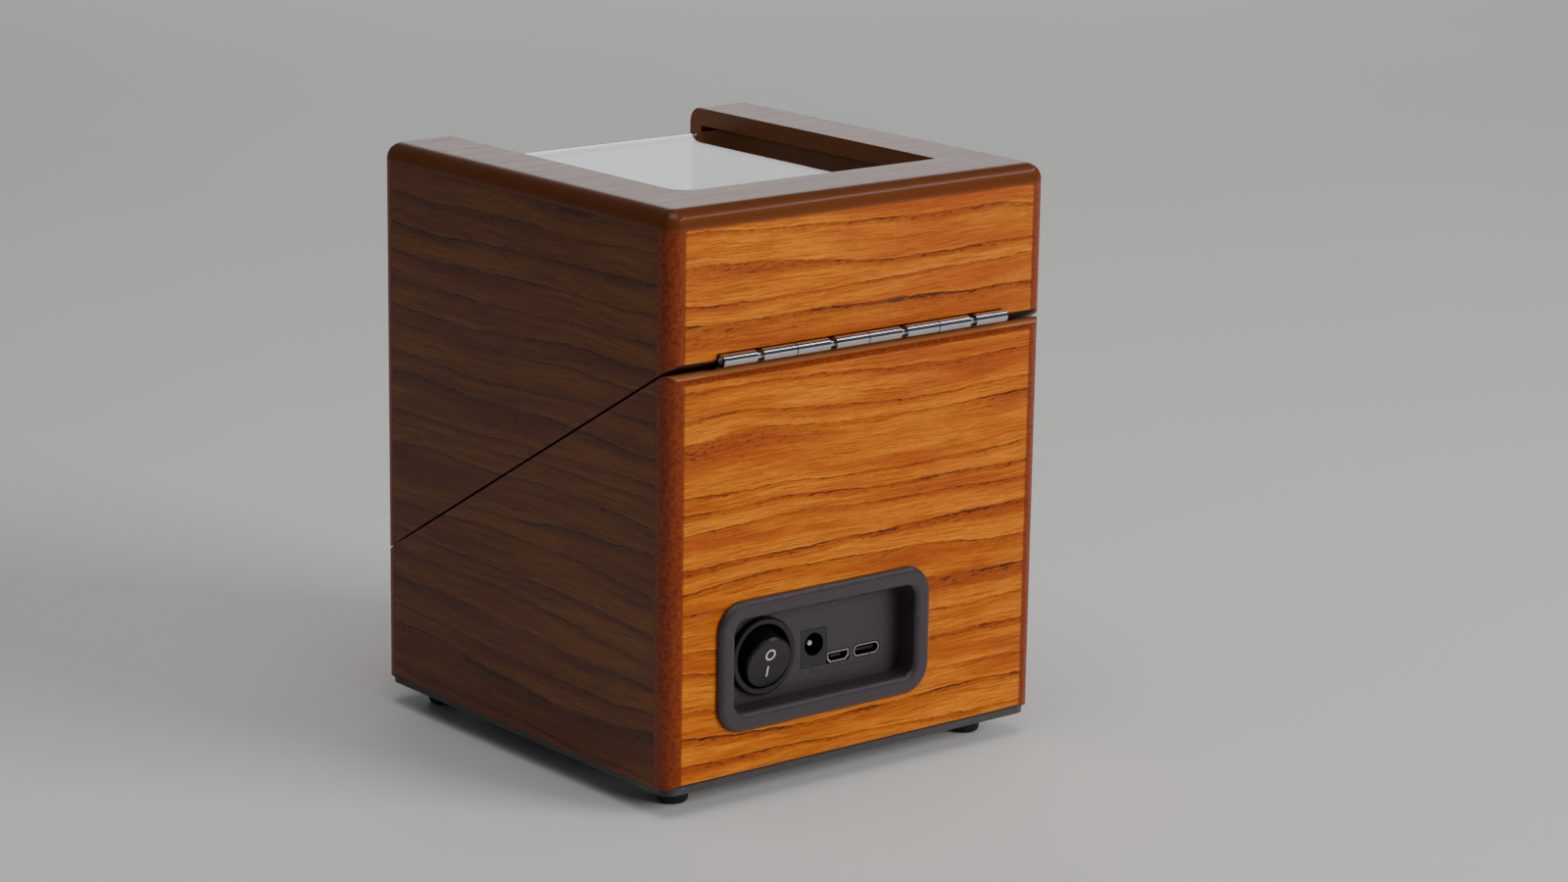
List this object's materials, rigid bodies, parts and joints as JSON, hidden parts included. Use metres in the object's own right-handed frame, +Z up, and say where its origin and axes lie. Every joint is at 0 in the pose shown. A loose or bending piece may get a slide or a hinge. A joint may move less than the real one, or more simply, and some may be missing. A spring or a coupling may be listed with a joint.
{
  "type": "watch winder",
  "caption": "Wooden watch winder with a slanted hinged lid, bent clear window, driven cushion drum, rear control recess with rocker switch and sockets, and battery box below.",
  "frame": {"origin": "on the supporting surface, below the centre of the box", "axes": "+Z up, the window faces -Y, the hinge and the control recess face +Y, +X to the right seen from the window side"},
  "size_m": [0.1268, 0.1322, 0.1588],
  "materials": {
    "veneer_wood": "glossy lacquered veneer with dark streaked grain",
    "flocked_board": "black flocked board",
    "foot_rubber": "matte",
    "clear_pane": "clear and glossy",
    "hinge_chrome": "polished",
    "screw_steel": "zinc plated",
    "magnet_nickel": "nickel plated",
    "felt": "black felt",
    "inner_leather": "black grained leatherette",
    "cushion_leather": "soft black leatherette over foam",
    "ring_metal": "satin ring",
    "inner_plastic": "moulded satin black",
    "pulley_plastic": "natural moulded",
    "spindle_steel": "ground",
    "bush_brass": "turned",
    "belt_rubber": "matte",
    "motor_steel": "plated can",
    "circuit_board": "green solder mask",
    "component_plastic": "moulded black",
    "panel_plastic": "fine spark-eroded charcoal",
    "switch_plastic": "satin black",
    "terminal_brass": "stamped",
    "jack_plastic": "moulded black",
    "socket_steel": "bright stamped",
    "contact_metal": "plated",
    "battery_plastic": "coarse spark-eroded charcoal"
  },
  "bodies": {
    "case": {"case_base": "veneer_wood", "panel_battens": "flocked_board", "base_board": "flocked_board", "foot_front_left": "foot_rubber", "foot_front_right": "foot_rubber", "foot_rear_left": "foot_rubber", "foot_rear_right": "foot_rubber", "hinge_leaf_lower": "hinge_chrome", "hinge_pin": "hinge_chrome", "hinge_screws_lower": "screw_steel", "rim_magnet": "magnet_nickel", "rim_pads": "felt", "face_panel": "inner_leather", "trim_ring": "ring_metal", "panel_screws": "screw_steel", "bush_upper": "bush_brass", "bush_lower": "bush_brass", "drive_belt": "belt_rubber", "mechanism_bridge": "inner_plastic", "mechanism_screws": "screw_steel", "gearbox": "motor_steel", "motor": "motor_steel", "gearbox_screws": "screw_steel", "control_board": "circuit_board", "board_components": "component_plastic", "board_screws": "screw_steel", "direction_switch": "component_plastic", "turns_switch": "component_plastic", "io_panel": "panel_plastic", "power_board": "circuit_board", "power_screws": "screw_steel", "switch_housing": "switch_plastic", "switch_terminals": "terminal_brass", "dc_jack": "jack_plastic", "dc_pin": "contact_metal", "micro_usb_shell": "socket_steel", "usb_c_shell": "socket_steel", "port_tongues": "component_plastic", "battery_tray": "battery_plastic", "battery_screws": "screw_steel", "battery_contacts": "contact_metal"},
    "lid": {"lid_shell": "veneer_wood", "window": "clear_pane", "hinge_leaf_upper": "hinge_chrome", "hinge_screws_upper": "screw_steel", "lid_magnet": "magnet_nickel"},
    "drum": {"drum_cup": "inner_plastic", "drive_pulley": "pulley_plastic", "pulley_screws": "screw_steel", "drum_shaft": "spindle_steel", "retaining_clip": "spindle_steel"},
    "pillow": {"watch_pillow": "cushion_leather"},
    "motor_rotor": {"motor_shaft": "spindle_steel", "motor_pulley": "bush_brass"},
    "rocker": {"rocker_paddle": "switch_plastic"},
    "direction_dial": {"direction_knob": "inner_plastic"},
    "turns_dial": {"turns_knob": "inner_plastic"},
    "door": {"battery_door": "battery_plastic"},
    "latch": {"battery_latch": "battery_plastic"}
  },
  "joints": [
    {"name": "lid_hinge", "type": "hinge", "parent": "case", "child": "lid", "pos_m": [0, 0.0656, 0.11954], "axis": [-1, 0, 0], "range_deg": [0, 95]},
    {"name": "drum_spin", "type": "hinge", "parent": "case", "child": "drum", "pos_m": [0, 0, 0.0813], "axis": [0, -0.5036, 0.8639], "continuous": true},
    {"name": "motor_spin", "type": "hinge", "parent": "case", "child": "motor_rotor", "pos_m": [-0.0394, 0, 0.0813], "axis": [0, -0.5036, 0.8639], "continuous": true},
    {"name": "pillow_slide", "type": "slide", "parent": "drum", "child": "pillow", "axis": [0, -0.5036, 0.8639], "range_m": [0, 0.02]},
    {"name": "rocker_tip", "type": "hinge", "parent": "case", "child": "rocker", "pos_m": [0.0289, 0.0585, 0.0377], "axis": [1, 0, 0], "range_deg": [0, 30]},
    {"name": "direction_turn", "type": "hinge", "parent": "case", "child": "direction_dial", "pos_m": [-0.0424, 0.04062, 0.10498], "axis": [0, -0.5036, 0.8639], "range_deg": [0, 270]},
    {"name": "turns_turn", "type": "hinge", "parent": "case", "child": "turns_dial", "pos_m": [0.0424, 0.04062, 0.10498], "axis": [0, -0.5036, 0.8639], "range_deg": [0, 270]},
    {"name": "battery_door_swing", "type": "hinge", "parent": "case", "child": "door", "pos_m": [0, 0.02945, 0.0044], "axis": [1, 0, 0], "range_deg": [0, 75]},
    {"name": "battery_latch_bend", "type": "hinge", "parent": "door", "child": "latch", "pos_m": [0, -0.0096, 0.0123], "axis": [1, 0, 0], "range_deg": [0, 12], "stiffness_Nm_per_rad": 0.02}
  ],
  "couplings": [
    {"joint": "motor_spin", "follows": "drum_spin", "ratio": 4.8909}
  ]
}
